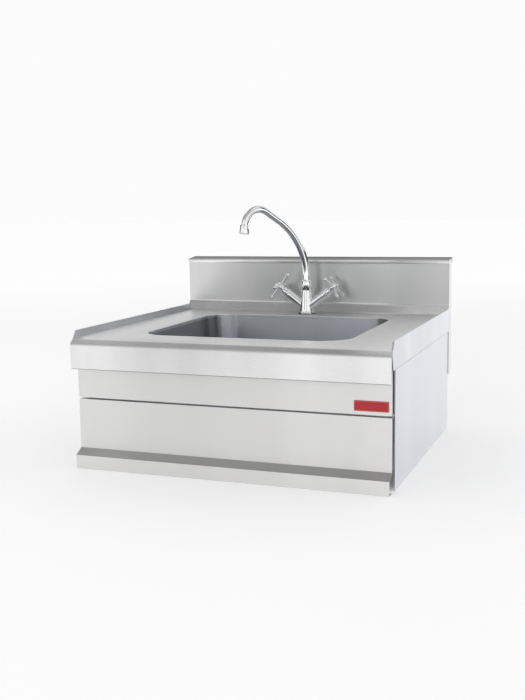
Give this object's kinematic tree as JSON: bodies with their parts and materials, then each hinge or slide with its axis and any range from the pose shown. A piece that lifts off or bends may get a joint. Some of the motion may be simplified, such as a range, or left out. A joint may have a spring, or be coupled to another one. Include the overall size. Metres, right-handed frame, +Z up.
{
  "type": "hand wash sink",
  "caption": "Counter-top stainless steel sink module with a drawn bowl, basket strainer waste, rear splashback and a deck mixer tap with cross handles and a swivelling spout.",
  "frame": {"origin": "middle of the module's footprint, on the surface that it stands on", "axes": "+X to the user's right when they stand at the front, +Y towards the splashback, +Z up"},
  "size_m": [0.7, 0.65, 0.5594],
  "materials": {
    "sheet_steel": "satin brushed stainless sheet",
    "bowl_steel": "satin drawn stainless",
    "chrome": "polished chrome plating",
    "polished_steel": "polished stainless waste fitting",
    "red_plate": "gloss red",
    "black_rubber": "matt black",
    "brass": "plain machined",
    "copper": "plain drawn tube",
    "zinc_steel": "zinc plated",
    "white_plastic": "moulded",
    "grey_plastic": "moulded"
  },
  "bodies": {
    "sink": {"worktop": "sheet_steel", "bowl": "bowl_steel", "splashback": "sheet_steel", "splashback_end_left": "sheet_steel", "splashback_end_right": "sheet_steel", "splashback_rear_cover": "sheet_steel", "left_side_panel": "sheet_steel", "right_side_panel": "sheet_steel", "back_panel": "sheet_steel", "upper_front_panel": "sheet_steel", "lower_front_panel": "sheet_steel", "front_brackets_left": "sheet_steel", "front_brackets_right": "sheet_steel", "badge_plate": "red_plate", "base_rail_front": "sheet_steel", "base_rail_rear": "sheet_steel", "deck_stiffener_left": "sheet_steel", "deck_stiffener_right": "sheet_steel", "casing_screws": "zinc_steel", "waste_body": "polished_steel", "waste_upper_seal": "black_rubber", "waste_lower_seal": "black_rubber", "waste_locknut": "grey_plastic", "waste_tailpiece": "chrome", "waste_tailpiece_nut": "chrome", "tap_body": "chrome", "tap_base_gasket": "black_rubber", "tap_stud": "zinc_steel", "tap_clamp_rubber": "black_rubber", "tap_clamp_plate": "zinc_steel", "tap_stud_nut": "brass", "hot_supply_tail": "copper", "cold_supply_tail": "copper", "spout_collar_nut": "chrome", "hot_bonnet": "chrome", "cold_bonnet": "chrome"},
    "spout": {"spout": "chrome", "spout_retaining_ring": "white_plastic", "spout_o_rings": "black_rubber", "aerator_housing": "chrome", "aerator_insert": "white_plastic", "aerator_washer": "black_rubber"},
    "strainer_basket": {"strainer_basket": "polished_steel", "strainer_stopper": "black_rubber", "strainer_knob": "polished_steel"},
    "hot_handle": {"hot_spindle": "chrome", "hot_gland_o_ring": "black_rubber", "hot_handle": "chrome", "hot_handle_screw": "zinc_steel", "hot_handle_cap": "chrome"},
    "hot_jumper": {"hot_jumper": "brass", "hot_seat_washer": "black_rubber"},
    "cold_handle": {"cold_spindle": "chrome", "cold_gland_o_ring": "black_rubber", "cold_handle": "chrome", "cold_handle_screw": "zinc_steel", "cold_handle_cap": "chrome"},
    "cold_jumper": {"cold_jumper": "brass", "cold_seat_washer": "black_rubber"}
  },
  "joints": [
    {"name": "spout_swivel", "type": "hinge", "parent": "sink", "child": "spout", "pos_m": [0, 0.231, 0.35], "axis": [0, 0, 1], "range_deg": [-52, 128]},
    {"name": "basket_lift", "type": "slide", "parent": "sink", "child": "strainer_basket", "axis": [0, 0, 1], "range_m": [0, 0.06]},
    {"name": "hot_handle_turn", "type": "hinge", "parent": "sink", "child": "hot_handle", "pos_m": [-0.07188, 0.231, 0.35416], "axis": [-0.7986, 0, 0.6018], "range_deg": [0, 720]},
    {"name": "hot_jumper_lift", "type": "slide", "parent": "sink", "child": "hot_jumper", "axis": [-0.7986, 0, 0.6018], "range_m": [0, 0.004]},
    {"name": "cold_handle_turn", "type": "hinge", "parent": "sink", "child": "cold_handle", "pos_m": [0.07188, 0.231, 0.35416], "axis": [0.7986, 0, 0.6018], "range_deg": [0, 720]},
    {"name": "cold_jumper_lift", "type": "slide", "parent": "sink", "child": "cold_jumper", "axis": [0.7986, 0, 0.6018], "range_m": [0, 0.004]}
  ],
  "couplings": [
    {"joint": "hot_jumper_lift", "follows": "hot_handle_turn", "m_per_rad": 0.000318},
    {"joint": "cold_jumper_lift", "follows": "cold_handle_turn", "m_per_rad": 0.000318}
  ]
}
